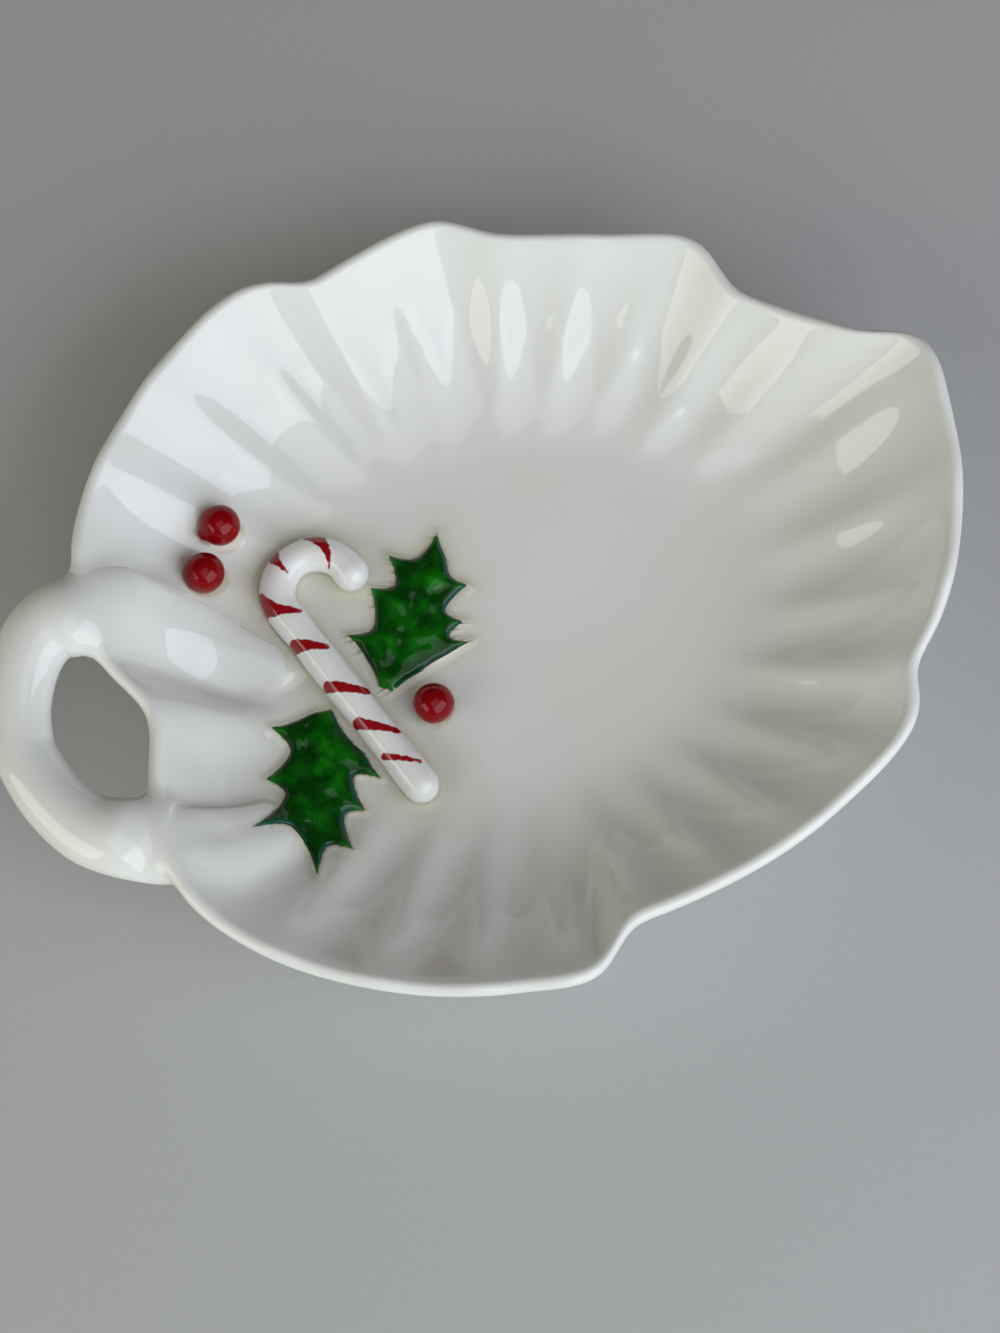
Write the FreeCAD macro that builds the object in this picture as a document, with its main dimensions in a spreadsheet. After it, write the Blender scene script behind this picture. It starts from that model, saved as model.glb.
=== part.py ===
# Leaf-shaped earthenware ring dish with a looped stem handle and applied sprigs.
# Millimetres. The origin is the centre of the foot ring on the table.
# +X points to the tip of the leaf, the handle is at -X, and +Z is up.
import FreeCAD, Part
import Sketcher
import math
import os
from FreeCAD import Vector

doc = FreeCAD.newDocument("ring_dish")
sheet = doc.addObject("Spreadsheet::Sheet", "sizes")

# Driving dimensions
dimensions = {
    "leaf_reach": "80",       # foot centre to the tip of the leaf
    "rim_height": "27",       # table to the rim at its mean reach
    "wall": "2.8",            # wall at the rim
    "floor_length": "72",     # flat floor along X
    "floor_width": "54",      # flat floor along Y
    "floor_thick": "3.5",     # floor above the foot's hollow
    "flute_depth": "1.8",     # crest to trough of the wall flutes
    "groove_depth": "2.6",    # groove in the wall beside the upper arm of the handle
    "foot_length": "66",      # foot ring along X
    "foot_breadth": "48",     # foot ring along Y
    "foot_band": "4",         # width of the foot ring's band
    "foot_height": "3",       # table to the underside of the floor
    "loop_depth": "15.4",     # rim to the loop's centre line at its far end
    "loop_spread": "39",      # between the two arms' centre lines
    "loop_width": "12.8",     # widest arm seen from above
    "loop_thick": "10",       # loop seen from the side
    "loop_drop": "1.5",       # rim height to the loop's centre line
    "cane_thick": "6.3",      # candy cane's rod
    "cane_stem": "38.5",      # straight part of the cane
    "cane_hook": "6.7",       # radius of the hook's centre line
    "cane_tail": "1.2",       # straight end past the hook
    "upper_leaf_length": "30",
    "upper_leaf_gap": "1.9",  # cane to the stem of the upper leaf
    "lower_leaf_length": "28.5",
    "lower_leaf_gap": "1.3",  # cane to the nearest spine of the lower leaf
    "leaf_thick": "2",        # holly leaf above its seat
    "berry_size": "7.2",
    "berry_nub": "2",         # stalk end left on one berry
    "seat_depth": "0.8",      # how far applied pieces reach into their seat
}
for line, (alias, text) in enumerate(dimensions.items(), start=1):
    sheet.set(f"A{line}", alias)
    sheet.set(f"B{line}", text)
    sheet.setAlias(f"B{line}", alias)
doc.recompute()


def size(alias):
    return float(getattr(sheet, alias))


# Rim of the leaf, round from the tip: angle in degrees, share of leaf_reach
rim_shares = (
    (5, 0.994), (10, 1.013), (14, 1.004), (18, 0.933), (22, 0.892), (30, 0.845), (35.5, 0.825),
    (39.5, 0.847), (42.5, 0.87), (46, 0.876), (51, 0.857), (58, 0.829), (66, 0.814), (74.5, 0.813),
    (79, 0.838), (83, 0.857), (90, 0.845), (98, 0.832), (104.5, 0.828), (108.5, 0.868),
    (112.5, 0.894), (118, 0.9), (134, 0.908), (150, 0.922), (158, 0.916), (171, 0.871),
    (181, 0.798), (192, 0.857), (205, 0.916), (216, 0.908), (233, 0.866), (252, 0.827),
    (259, 0.822), (263, 0.808), (268.5, 0.742), (272.5, 0.731), (287, 0.748), (306, 0.8),
    (320, 0.855), (324.5, 0.854), (329, 0.835), (337, 0.877), (352, 0.944),
)
# Lobes between the notches of the rim: first angle, last angle, number and relative depth of flutes
lobes = (
    (-31, 35.5, 5, 1), (35.5, 74.5, 3, 1), (74.5, 104.5, 2, 1), (104.5, 157, 4, 1),
    (157, 180, 1, 1.35), (180, 204.5, 1, 1.35), (204.5, 272, 5, 1), (272, 329, 4, 1),
)
# Crest between the handle's arms: it leans over as it runs down the wall
crest_angle = 180
crest_reach_angle = 23
crest_lean_angle = 10
# Groove between that crest and the upper arm: its ends as shares of leaf_reach
groove_end_shares = ((-0.806, 0.132), (-0.538, -0.036))
groove_arm_share = 0.28      # its width towards the arm, of loop_width
groove_crest_share = 0.19    # its width towards the crest, of loop_width
mean_rim_share = 0.874       # of leaf_reach
rim_lift_share = 0.3         # rim rises with its reach beyond the mean
bowl_power = 2.2             # wall curves up from the flat floor
crest_power = 1.5            # flutes have broad troughs and narrow crests
crest_mean_share = 0.42      # mean of the flute wave
rim_flute_share = 0.3        # flute depth left at the rim
outer_flute_share = 0.5      # flute depth on the outside
turn_steps = 180
inner_shares = (0, 0.1, 0.2, 0.3, 0.4, 0.5, 0.6, 0.7, 0.8, 0.9, 0.96, 1)
lip_angles = (30, 60, 90, 120, 150)
outer_shares = (1, 0.96, 0.88, 0.78, 0.66, 0.54, 0.42, 0.3, 0.2, 0.1, 0)

# Arms of the handle in plan, from inside the bowl to the rim: shares of leaf_reach, of loop_spread
rim_arm_share = 0.85
arm_shares = {
    "upper": ((0.533, 0.058), (0.715, 0.42), (rim_arm_share, 0.472)),
    "lower": ((0.615, -0.56), (0.748, -0.638), (rim_arm_share, -0.56)),
}


def ease(low, high, value):
    part = min(1, max(0, (value - low) / (high - low)))
    return part * part * (3 - 2 * part)


def rim_point(number):
    turns, index = divmod(number, len(rim_shares))
    degrees, share = rim_shares[index]
    return degrees + 360 * turns, share


def rim_reach(angle):
    # smooth closed curve through the table of the rim
    degrees = math.degrees(angle) % 360
    if degrees < rim_shares[0][0]:
        degrees += 360
    number = max(i for i in range(len(rim_shares)) if rim_shares[i][0] <= degrees)
    before, start, end, after = (rim_point(number + step) for step in (-1, 0, 1, 2))
    span = end[0] - start[0]
    part = (degrees - start[0]) / span
    start_slope = span * (end[1] - before[1]) / (end[0] - before[0])
    end_slope = span * (after[1] - start[1]) / (after[0] - start[0])
    share = start[1] + part * start_slope
    share += part ** 2 * (3 * (end[1] - start[1]) - 2 * start_slope - end_slope)
    share += part ** 3 * (2 * (start[1] - end[1]) + start_slope + end_slope)
    return share * size("leaf_reach")


def rim_top(angle):
    mean = mean_rim_share * size("leaf_reach")
    return size("rim_height") + rim_lift_share * (rim_reach(angle) - mean)


def floor_top():
    return size("foot_height") + size("floor_thick")


def floor_edge(angle):
    along = math.cos(angle) / size("floor_length")
    across = math.sin(angle) / size("floor_width")
    return 1 / (2 * math.hypot(along, across))


def wall_slope(angle, share):
    # run and rise of the plain wall per unit of share
    run = rim_reach(angle) - size("wall") - floor_edge(angle)
    rise = (rim_top(angle) - floor_top()) * bowl_power * share ** (bowl_power - 1)
    return run, rise


def flute(angle, share):
    degrees = (math.degrees(angle) - lobes[0][0]) % 360 + lobes[0][0]
    degrees -= crest_lean_angle * (1 - share) * max(0, 1 - abs(degrees - crest_angle) / crest_reach_angle)
    first, last, count, depth = next(lobe for lobe in lobes if degrees <= lobe[1])
    wave = math.cos(2 * math.pi * count * (degrees - first) / (last - first))
    return 1 - crest_mean_share + depth * (((1 + wave) / 2) ** crest_power - 1)


def flute_fade(share):
    return ease(0.1, 0.7, share) * (1 - (1 - rim_flute_share) * ease(0.7, 1, share))


def groove(x, y):
    start, end = (Vector(*shares, 0) * size("leaf_reach") for shares in groove_end_shares)
    path = end - start
    offset = Vector(x, y, 0) - start
    along = offset.dot(path) / path.dot(path)
    across = offset.cross(path).z / path.Length
    width = (groove_arm_share if across < 0 else groove_crest_share) * size("loop_width")
    deep = math.exp(-(across / width) ** 2) * ease(0, 0.2, along) * (1 - ease(0.45, 1, along))
    return size("groove_depth") * deep


def wall_point(angle, share, flute_share):
    run = wall_slope(angle, share)[0]
    radius = floor_edge(angle) + run * share
    x, y = radius * math.cos(angle), radius * math.sin(angle)
    height = floor_top() + (rim_top(angle) - floor_top()) * share ** bowl_power
    height += flute_share * size("flute_depth") * flute_fade(share) * flute(angle, share)
    return Vector(x, y, height - groove(x, y) * ease(0, 0.35, share))


def inner_point(angle, share):
    return wall_point(angle, share, 1)


def outer_point(angle, share):
    run, rise = wall_slope(angle, share)
    thick = size("floor_thick") + (size("wall") - size("floor_thick")) * ease(0, 1, share)
    outward = Vector(rise * math.cos(angle), rise * math.sin(angle), -run).normalize()
    return wall_point(angle, share, outer_flute_share) + outward * thick


def lip_point(angle, degrees):
    inside = inner_point(angle, 1)
    outside = outer_point(angle, 1)
    middle = (inside + outside) * 0.5
    run, rise = wall_slope(angle, 1)
    upward = Vector(run * math.cos(angle), run * math.sin(angle), rise).normalize()
    half = inside - middle
    turn = math.radians(degrees)
    return middle + half * math.cos(turn) + upward * half.Length * math.sin(turn)


def bowl_top(x, y):
    # height of the bowl's inner face over a point in plan
    angle = math.atan2(y, x)
    radius = math.hypot(x, y)
    share = (radius - floor_edge(angle)) / wall_slope(angle, 0)[0]
    return inner_point(angle, max(0, min(1, share))).z


def ring(make, value):
    step = 2 * math.pi / turn_steps
    return [make(number * step, value) for number in range(turn_steps)]


def closed_skin(rings):
    # smooth closed skin guided by rings of points, with a flat face at each end
    count = len(rings[0])
    surface = Part.BSplineSurface()
    round_knots = list(range(count + 1))
    rise_knots = list(range(len(rings) - 2))
    poles = [[level[number] for level in rings] for number in range(count)]
    surface.buildFromPolesMultsKnots(
        poles, [1] * len(round_knots), [4] + [1] * (len(rise_knots) - 2) + [4],
        round_knots, rise_knots, True, False, 3, 3)
    side = surface.toShape()
    ends = [Part.Face(Part.Wire([edge])) for edge in side.Edges if edge.isClosed()]
    shell = Part.makeShell([side] + ends)
    shell.sewShape()
    solid = Part.makeSolid(shell)
    if solid.Volume < 0:
        solid.reverse()
    return solid


# Bowl: rings from the floor up the fluted wall, over the lip and down to the underside
rings = [ring(inner_point, share) for share in inner_shares]
rings += [ring(lip_point, degrees) for degrees in lip_angles]
rings += [ring(outer_point, share) for share in outer_shares]
bowl = doc.addObject("Part::Feature", "bowl")
bowl.Shape = closed_skin(rings)


def new_body(name):
    body = doc.addObject("PartDesign::Body", name)
    body.Label = name
    return body


def new_sketch(body, name, role):
    sketch = body.newObject("Sketcher::SketchObject", name)
    plane = next(item for item in body.Origin.OriginFeatures if item.Role == role)
    sketch.AttachmentSupport = (plane, "")
    sketch.MapMode = "FlatFace"
    return sketch


def bind(sketch, constraint, name, expression):
    index = sketch.addConstraint(constraint)
    sketch.renameConstraint(index, name)
    sketch.setExpression(f"Constraints.{name}", expression)


# Foot ring: an oval band under the floor, with its lower edges rounded
foot_body = new_body("foot_band_body")
foot_sketch = new_sketch(foot_body, "foot_outline", "XY_Plane")


def add_oval(name, inset):
    half_long = size("foot_length") / 2 - inset * size("foot_band")
    half_short = size("foot_breadth") / 2 - inset * size("foot_band")
    oval = foot_sketch.addGeometry(
        Part.Ellipse(Vector(0, 0, 0), half_long, half_short), False)
    foot_sketch.exposeInternalGeometry(oval)
    major, minor = oval + 1, oval + 2
    foot_sketch.addConstraint(Sketcher.Constraint("Coincident", oval, 3, -1, 1))
    foot_sketch.addConstraint(Sketcher.Constraint("Horizontal", major))
    bind(foot_sketch, Sketcher.Constraint("Distance", major, 2 * half_long), f"{name}_long",
         f"sizes.foot_length - {2 * inset} * sizes.foot_band")
    bind(foot_sketch, Sketcher.Constraint("Distance", minor, 2 * half_short), f"{name}_short",
         f"sizes.foot_breadth - {2 * inset} * sizes.foot_band")


add_oval("outside", 0)
add_oval("inside", 1)
foot_pad = foot_body.newObject("PartDesign::Pad", "foot_pad")
foot_pad.Profile = foot_sketch
foot_pad.setExpression("Length", "sizes.foot_height + sizes.floor_thick / 2")
doc.recompute()
foot_edges = [f"Edge{number}" for number, edge in enumerate(foot_pad.Shape.Edges, start=1)
              if edge.BoundBox.ZMax < size("foot_height") / 2]
foot_round = foot_body.newObject("PartDesign::Fillet", "foot_round")
foot_round.Base = (foot_pad, foot_edges)
foot_round.setExpression("Radius", "sizes.foot_band / 5")

dish_shell = doc.addObject("Part::Fuse", "dish_shell")
dish_shell.Base = bowl
dish_shell.Tool = foot_body
doc.recompute()
pieces = [dish_shell]


def seat(piece, label, *carriers):
    # trim an applied piece to the faces that carry it
    for number, carrier in enumerate(carriers):
        trimmed = doc.addObject("Part::Cut", f"{label}_seat{number}")
        trimmed.Base = piece
        trimmed.Tool = carrier
        trimmed.Refine = False
        piece = trimmed
    piece.Label = label
    pieces.append(piece)
    return piece


# Loop handle: ovals along the arms and round the loop, the arms tapering down into the bowl
# Arms: part of the arm, lift above the bowl as a share of loop_thick, share of width, of thickness
taper_shares = {
    "upper": ((0, -0.03, 0.55, 0.18), (0.3, 0.03, 0.74, 0.28), (0.52, 0.07, 0.94, 0.4),
              (0.78, 0.1, 1.1, 0.68)),
    "lower": ((0, -0.03, 0.55, 0.18), (0.3, 0.1, 0.74, 0.36), (0.6, 0.08, 0.88, 0.48),
              (0.85, -0.2, 1, 0.7)),
}
# Loop from an arm to the far end: shares of loop_depth, loop_spread, loop_drop, loop_width, loop_thick
loop_shares = {
    "upper": ((0.08, 0.472, 0.6, 1.1, 1), (0.45, 0.455, 0.6, 0.99, 1), (0.72, 0.355, 0.8, 0.88, 0.99),
              (0.92, 0.2, 1.05, 0.82, 0.96), (1, 0.06, 1.3, 0.79, 0.95)),
    "lower": ((0.03, -0.535, 1.6, 1.08, 0.92), (0.3, -0.49, 0.6, 1, 1), (0.6, -0.405, 0.7, 0.91, 1),
              (0.86, -0.24, 1, 0.83, 0.97), (1, -0.06, 1.3, 0.79, 0.95)),
}
span_steps = 3
oval_steps = 16


def arm_stations(arm):
    # middle, width and thickness of the stem along one arm and half of the loop
    bends = [Vector(-along * size("leaf_reach"), across * size("loop_spread"), 0)
             for along, across in arm_shares[arm]]
    stations = []
    for part, lift, width, thick in taper_shares[arm]:
        point = bends[0] * (1 - part) ** 2 + bends[1] * 2 * part * (1 - part) + bends[2] * part ** 2
        point.z = bowl_top(point.x, point.y) + lift * size("loop_thick")
        stations.append((point, width, thick))
    for along, across, drop, width, thick in loop_shares[arm]:
        x = -rim_arm_share * size("leaf_reach") - along * size("loop_depth")
        z = size("rim_height") - drop * size("loop_drop")
        stations.append((Vector(x, across * size("loop_spread"), z), width, thick))
    return stations


def between(stations, number, part):
    # smooth curve through the stations of the handle
    last = len(stations) - 1
    before, start, end, after = (stations[min(last, max(0, number + step))] for step in (-1, 0, 1, 2))
    values = []
    for old, low, high, new in zip(before, start, end, after):
        first = (high - old) * 0.5
        second = (new - low) * 0.5
        bend = (high - low) * 3 - first * 2 - second
        swing = (low - high) * 2 + first + second
        values.append(low + first * part + bend * part ** 2 + swing * part ** 3)
    return values


stations = arm_stations("upper") + arm_stations("lower")[::-1]
route = [between(stations, number, step / span_steps)
         for number in range(len(stations) - 1) for step in range(span_steps)]
route.append(stations[-1])
handle_rings = []
for number, (centre, width, thick) in enumerate(route):
    before = route[max(0, number - 1)][0]
    after = route[min(len(route) - 1, number + 1)][0]
    across = (after - before).cross(Vector(0, 0, 1)).normalize() * (width * size("loop_width") / 2)
    upright = Vector(0, 0, thick * size("loop_thick") / 2)
    turns = [2 * math.pi * step / oval_steps for step in range(oval_steps)]
    handle_rings.append([centre + across * math.cos(turn) + upright * math.sin(turn) for turn in turns])
handle = doc.addObject("Part::Feature", "handle_whole")
handle.Shape = closed_skin(handle_rings)
loop_handle = seat(handle, "loop_handle", dish_shell)

# Candy cane: a round rod with a hook, laid on the floor
cane_place_shares = (-0.31, -0.288)      # foot of the cane, of leaf_reach
cane_angle = 19.5
cane_body = new_body("cane_body")
cane_path = new_sketch(cane_body, "cane_path", "XY_Plane")
stem, hook, tail = size("cane_stem"), size("cane_hook"), size("cane_tail")
cane_path.addGeometry(Part.LineSegment(Vector(0, 0, 0), Vector(0, stem, 0)), False)
cane_path.addGeometry(
    Part.ArcOfCircle(Part.Circle(Vector(hook, stem, 0), Vector(0, 0, 1), hook), 0, math.pi), False)
cane_path.addGeometry(
    Part.LineSegment(Vector(2 * hook, stem, 0), Vector(2 * hook, stem - tail, 0)), False)
cane_path.addConstraint(Sketcher.Constraint("Coincident", 0, 1, -1, 1))
cane_path.addConstraint(Sketcher.Constraint("Vertical", 0))
cane_path.addConstraint(Sketcher.Constraint("Tangent", 0, 2, 1, 2))
cane_path.addConstraint(Sketcher.Constraint("Tangent", 1, 1, 2, 1))
cane_path.addConstraint(Sketcher.Constraint("Vertical", 2))
bind(cane_path, Sketcher.Constraint("Distance", 0, stem), "stem", "sizes.cane_stem")
bind(cane_path, Sketcher.Constraint("Radius", 1, hook), "hook", "sizes.cane_hook")
bind(cane_path, Sketcher.Constraint("Distance", 2, tail), "tail", "sizes.cane_tail")
cane_section = new_sketch(cane_body, "cane_section", "XZ_Plane")
rod = size("cane_thick") / 2
cane_section.addGeometry(Part.Circle(Vector(0, 0, 0), Vector(0, 0, 1), rod), False)
cane_section.addConstraint(Sketcher.Constraint("Coincident", 0, 3, -1, 1))
bind(cane_section, Sketcher.Constraint("Radius", 0, rod), "rod", "sizes.cane_thick / 2")
cane_rod = cane_body.newObject("PartDesign::AdditivePipe", "cane_rod")
cane_rod.Profile = cane_section
cane_rod.Spine = cane_path
doc.recompute()
for end, x, y in (("foot", "0", "0"),
                  ("tip", "2 * sizes.cane_hook", "sizes.cane_stem - sizes.cane_tail")):
    ball = cane_body.newObject("PartDesign::AdditiveSphere", f"cane_{end}_end")
    ball.AttachmentSupport = (cane_path.AttachmentSupport[0][0], "")
    ball.MapMode = "FlatFace"
    ball.setExpression("Radius", "sizes.cane_thick / 2")
    ball.setExpression("AttachmentOffset.Base.x", x)
    ball.setExpression("AttachmentOffset.Base.y", y)
    doc.recompute()
cane_foot = Vector(*cane_place_shares, 0) * size("leaf_reach")
cane_rotation = FreeCAD.Rotation(Vector(0, 0, 1), cane_angle)
cane_lift = Vector(0, 0, floor_top() + size("cane_thick") / 2 - size("seat_depth"))
cane_body.Placement = FreeCAD.Placement(cane_foot + cane_lift, cane_rotation)
seat(cane_body, "candy_cane", dish_shell)


def by_cane(along, across):
    # place in plan from the cane's foot, along its stem and to the right of it
    return cane_foot + cane_rotation.multVec(Vector(across, along, 0))


# Holly leaves: spines and dips in order round each leaf, as shares of its length from the stem
# The stem is at the start of the leaf's own X axis, and the last spine is the one next to the cane.
upper_spine_shares = (
    (0.003, -0.037), (0.15, -0.145), (0.29, -0.263), (0.415, -0.375), (0.403, -0.235),
    (0.521, -0.299), (0.544, -0.168), (0.744, -0.26), (0.753, -0.148), (0.857, -0.096),
    (1, 0.01), (0.802, 0.075), (0.778, 0.24), (0.61, 0.136), (0.558, 0.277),
    (0.319, 0.179), (0.247, 0.318), (0.136, 0.164), (0.005, 0.045),
)
lower_spine_shares = (
    (0.24, 0.345), (0.112, 0.244), (-0.05, 0.185), (-0.05, 0.067), (0.032, -0.185),
    (0.177, -0.077), (0.346, -0.242), (0.446, -0.128), (0.674, -0.318), (0.652, -0.121),
    (0.989, 0.003), (0.782, 0.07), (0.842, 0.216), (0.594, 0.178), (0.6, 0.307),
    (0.364, 0.252), (0.414, 0.424),
)
upper_leaf_angle = 54
lower_leaf_angle = -100.8
upper_stem_share = 0.67      # upper leaf's stem below the end of the cane's stem, of its length
lower_spine_share = 0.19     # lower leaf's spine above the cane's foot, of its length
upper_along = size("cane_stem") - upper_stem_share * size("upper_leaf_length")
upper_across = size("cane_thick") / 2 + size("upper_leaf_gap")
lower_along = lower_spine_share * size("lower_leaf_length")
lower_across = -size("cane_thick") / 2 - size("lower_leaf_gap")
# Name, length, spines, place of the last spine, direction, what carries the leaf
leaves = (
    ("holly_leaf_upper", "upper_leaf_length", upper_spine_shares,
     by_cane(upper_along, upper_across), upper_leaf_angle, (dish_shell,)),
    ("holly_leaf_lower", "lower_leaf_length", lower_spine_shares,
     by_cane(lower_along, lower_across), lower_leaf_angle, (dish_shell, loop_handle)),
)
scallop_share = 0.06         # depth of the hollow from each spine to its dip, of their chord
crown_share = 0.45           # how far a leaf thins from its middle to its edges
blank_shares = (-0.15, 0, 0.15, 0.3, 0.45, 0.6, 0.75, 0.9, 1.15)
blank_half_shares = (-0.55, -0.4, -0.25, -0.1, 0.1, 0.25, 0.4, 0.55)


def leaf_outline(body, name, length, spines):
    sketch = new_sketch(body, f"{name}_outline", "XY_Plane")
    count = len(spines)
    for number in range(count):
        start = Vector(*spines[number], 0)
        end = Vector(*spines[(number + 1) % count], 0)
        chord = end - start
        bend = scallop_share / 2 + 1 / (8 * scallop_share)
        outward = Vector(chord.y, -chord.x, 0)
        centre = (start + end) * 0.5 + outward * (bend - scallop_share)
        first = math.atan2(end.y - centre.y, end.x - centre.x)
        last = math.atan2(start.y - centre.y, start.x - centre.x)
        circle = Part.Circle(centre * size(length), Vector(0, 0, 1), bend * chord.Length * size(length))
        sketch.addGeometry(Part.ArcOfCircle(circle, first, last), False)
    for number, (along, across) in enumerate(spines):
        sketch.addConstraint(Sketcher.Constraint("Coincident", number, 1, (number + 1) % count, 2))
        for axis, share in (("X", along), ("Y", across)):
            value = share * size(length)
            bind(sketch, Sketcher.Constraint(f"Distance{axis}", -1, 1, number, 2, value),
                 f"spine{number}{axis.lower()}", f"sizes.{length} * {share}")
        radius = sketch.Geometry[number].Radius
        bind(sketch, Sketcher.Constraint("Radius", number, radius), f"scallop{number}",
             f"sizes.{length} * {radius / size(length)}")
    return sketch


def leaf_blank(length, place):
    # plate that follows the bowl under the leaf and swells towards its middle
    grid = []
    for along in blank_shares:
        row = []
        for across in blank_half_shares:
            point = place.multVec(Vector(along, across, 0) * size(length))
            off_middle = min(1, (2 * along - 1) ** 2 + (2 * across) ** 2)
            point.z = bowl_top(point.x, point.y) + size("leaf_thick") * (1 - crown_share * off_middle)
            row.append(point)
        grid.append(row)
    top = Part.BSplineSurface()
    knots = [list(range(len(line) - 2)) for line in (blank_shares, blank_half_shares)]
    mults = [[4] + [1] * (len(line) - 2) + [4] for line in knots]
    top.buildFromPolesMultsKnots(grid, mults[0], mults[1], knots[0], knots[1], False, False, 3, 3)
    return top.toShape().extrude(Vector(0, 0, -size("leaf_thick") - size("seat_depth")))


for name, length, spines, last_place, turn, carriers in leaves:
    leaf_body = new_body(f"{name}_body")
    outline = leaf_outline(leaf_body, name, length, spines)
    leaf_pad = leaf_body.newObject("PartDesign::Pad", f"{name}_pad")
    leaf_pad.Profile = outline
    leaf_pad.setExpression("Length", "sizes.rim_height")
    leaf_rotation = FreeCAD.Rotation(Vector(0, 0, 1), turn)
    last_spine = leaf_rotation.multVec(Vector(*spines[-1], 0) * size(length))
    place = FreeCAD.Placement(last_place - last_spine, leaf_rotation)
    leaf_body.Placement = place
    blank = doc.addObject("Part::Feature", f"{name}_blank")
    blank.Shape = leaf_blank(length, place)
    leaf = doc.addObject("Part::Common", f"{name}_whole")
    leaf.Base = leaf_body
    leaf.Tool = blank
    seat(leaf, name, *carriers)

# Berries: balls pressed onto the dish, beyond the cane's hook and below the upper leaf's stem
wall_berry_shares = {"berry_wall_upper": (1.09, 0.02), "berry_wall_lower": (0.37, -0.97)}
floor_berry_share = 1.2      # below the upper leaf's stem, of berry_size
hook_end = size("cane_stem") + size("cane_hook") + size("cane_thick") / 2
berry_places = {name: by_cane(hook_end + along * size("berry_size"), across * size("berry_size"))
                for name, (along, across) in wall_berry_shares.items()}
berry_places["berry_floor"] = by_cane(
    upper_along - floor_berry_share * size("berry_size"), size("cane_thick") / 2 + size("berry_size"))
nub_berry = "berry_wall_upper"
nub_place_shares = (-0.46, -0.1)     # of berry_size, from the berry's middle
for name, middle in berry_places.items():
    # the ball's poles lie level along the wall and its seam faces up and inwards, clear of the seat
    outward = Vector(middle.x, middle.y, 0).normalize()
    along_wall = Vector(-outward.y, outward.x, 0)
    inward_up = Vector(0, 0, 1) - outward
    ball_rotation = FreeCAD.Rotation(inward_up, along_wall.cross(inward_up), along_wall, "ZXY")
    berry_body = new_body(f"{name}_body")
    ball = berry_body.newObject("PartDesign::AdditiveSphere", f"{name}_ball")
    ball.setExpression("Radius", "sizes.berry_size / 2")
    if name == nub_berry:
        doc.recompute()
        nub = berry_body.newObject("PartDesign::AdditiveSphere", f"{name}_nub")
        nub.AttachmentSupport = (next(item for item in berry_body.Origin.OriginFeatures
                                      if item.Role == "XY_Plane"), "")
        nub.MapMode = "FlatFace"
        nub.setExpression("Radius", "sizes.berry_nub / 2")
        nub_share = ball_rotation.inverted().multVec(Vector(*nub_place_shares, 0))
        for axis in ("x", "y", "z"):
            nub.setExpression(f"AttachmentOffset.Base.{axis}",
                              f"sizes.berry_size * {getattr(nub_share, axis)}")
    middle.z = bowl_top(middle.x, middle.y) + size("berry_size") / 2 - size("seat_depth")
    berry_body.Placement = FreeCAD.Placement(middle, ball_rotation)
    seat(berry_body, name, dish_shell)
doc.recompute()

# Every object is sound and every piece is one valid solid before anything is written
for item in doc.Objects:
    if "Invalid" in item.State or "Error" in item.State:
        raise RuntimeError(f"{item.Label} did not build")
for piece in pieces:
    shape = piece.Shape
    if shape.isNull() or not shape.isValid() or len(shape.Solids) != 1:
        raise RuntimeError(f"{piece.Label} is not one valid solid: {len(shape.Solids)} solids")
os.makedirs("parts", exist_ok=True)
for piece in pieces:
    piece.Shape.exportStep(f"parts/{piece.Label}.step")
    box = piece.Shape.BoundBox
    print(f"{piece.Label}: {box.XLength:.1f} x {box.YLength:.1f} x {box.ZLength:.1f} mm,"
          f" {piece.Shape.Volume / 1000:.2f} cm3")
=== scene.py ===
# %% [markdown]
# A leaf-shaped ring dish in white glazed earthenware, with a looped stem for a handle and a painted
# sprig of candy cane, holly and berries. The CAD model gives the frame, in metres, with the foot of
# the dish on the table at the origin. Every piece is modelled again at the same place, finer than the
# solids, so that the glaze has smooth surfaces to run over. The script reads nothing but the frame.

# %% Load the frame
import math
import bpy
import bmesh
import numpy as np
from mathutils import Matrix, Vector, noise
from mathutils.bvhtree import BVHTree
from mathutils.geometry import delaunay_2d_cdt


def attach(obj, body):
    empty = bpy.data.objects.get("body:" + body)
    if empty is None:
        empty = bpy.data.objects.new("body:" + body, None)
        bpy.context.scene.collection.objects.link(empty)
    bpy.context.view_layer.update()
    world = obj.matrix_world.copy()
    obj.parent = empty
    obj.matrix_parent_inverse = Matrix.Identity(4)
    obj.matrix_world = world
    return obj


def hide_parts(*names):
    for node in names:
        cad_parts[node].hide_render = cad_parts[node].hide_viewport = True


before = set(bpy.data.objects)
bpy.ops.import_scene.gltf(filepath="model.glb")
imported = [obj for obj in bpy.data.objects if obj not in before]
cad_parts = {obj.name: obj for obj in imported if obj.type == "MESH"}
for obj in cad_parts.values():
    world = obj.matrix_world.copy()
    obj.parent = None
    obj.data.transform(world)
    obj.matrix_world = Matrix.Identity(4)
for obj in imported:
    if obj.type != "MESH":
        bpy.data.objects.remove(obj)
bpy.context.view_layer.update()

# sizes are in millimetres where no other unit is named
MM = 0.001
scene = bpy.context.scene
print("nodes in the frame:", ", ".join(sorted(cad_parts)))

# %% [markdown]
# The rim of the dish is the outline of a lobed leaf. It could be drawn as a curve, but a table of
# angles and shares of the leaf's reach is easier to correct against the real dish. A smooth closed
# curve runs through the table, and the same table gives the height of the rim, because the lobes of
# such a dish rise as they reach out.

# %% Rim of the leaf
LEAF_REACH = 80.0
RIM_HEIGHT = 27.0
WALL = 2.8
# how much the rim rises with its reach, and the reach that has the plain rim height
RIM_RISE, MIDDLE_REACH_SHARE = 0.3, 0.874
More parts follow.
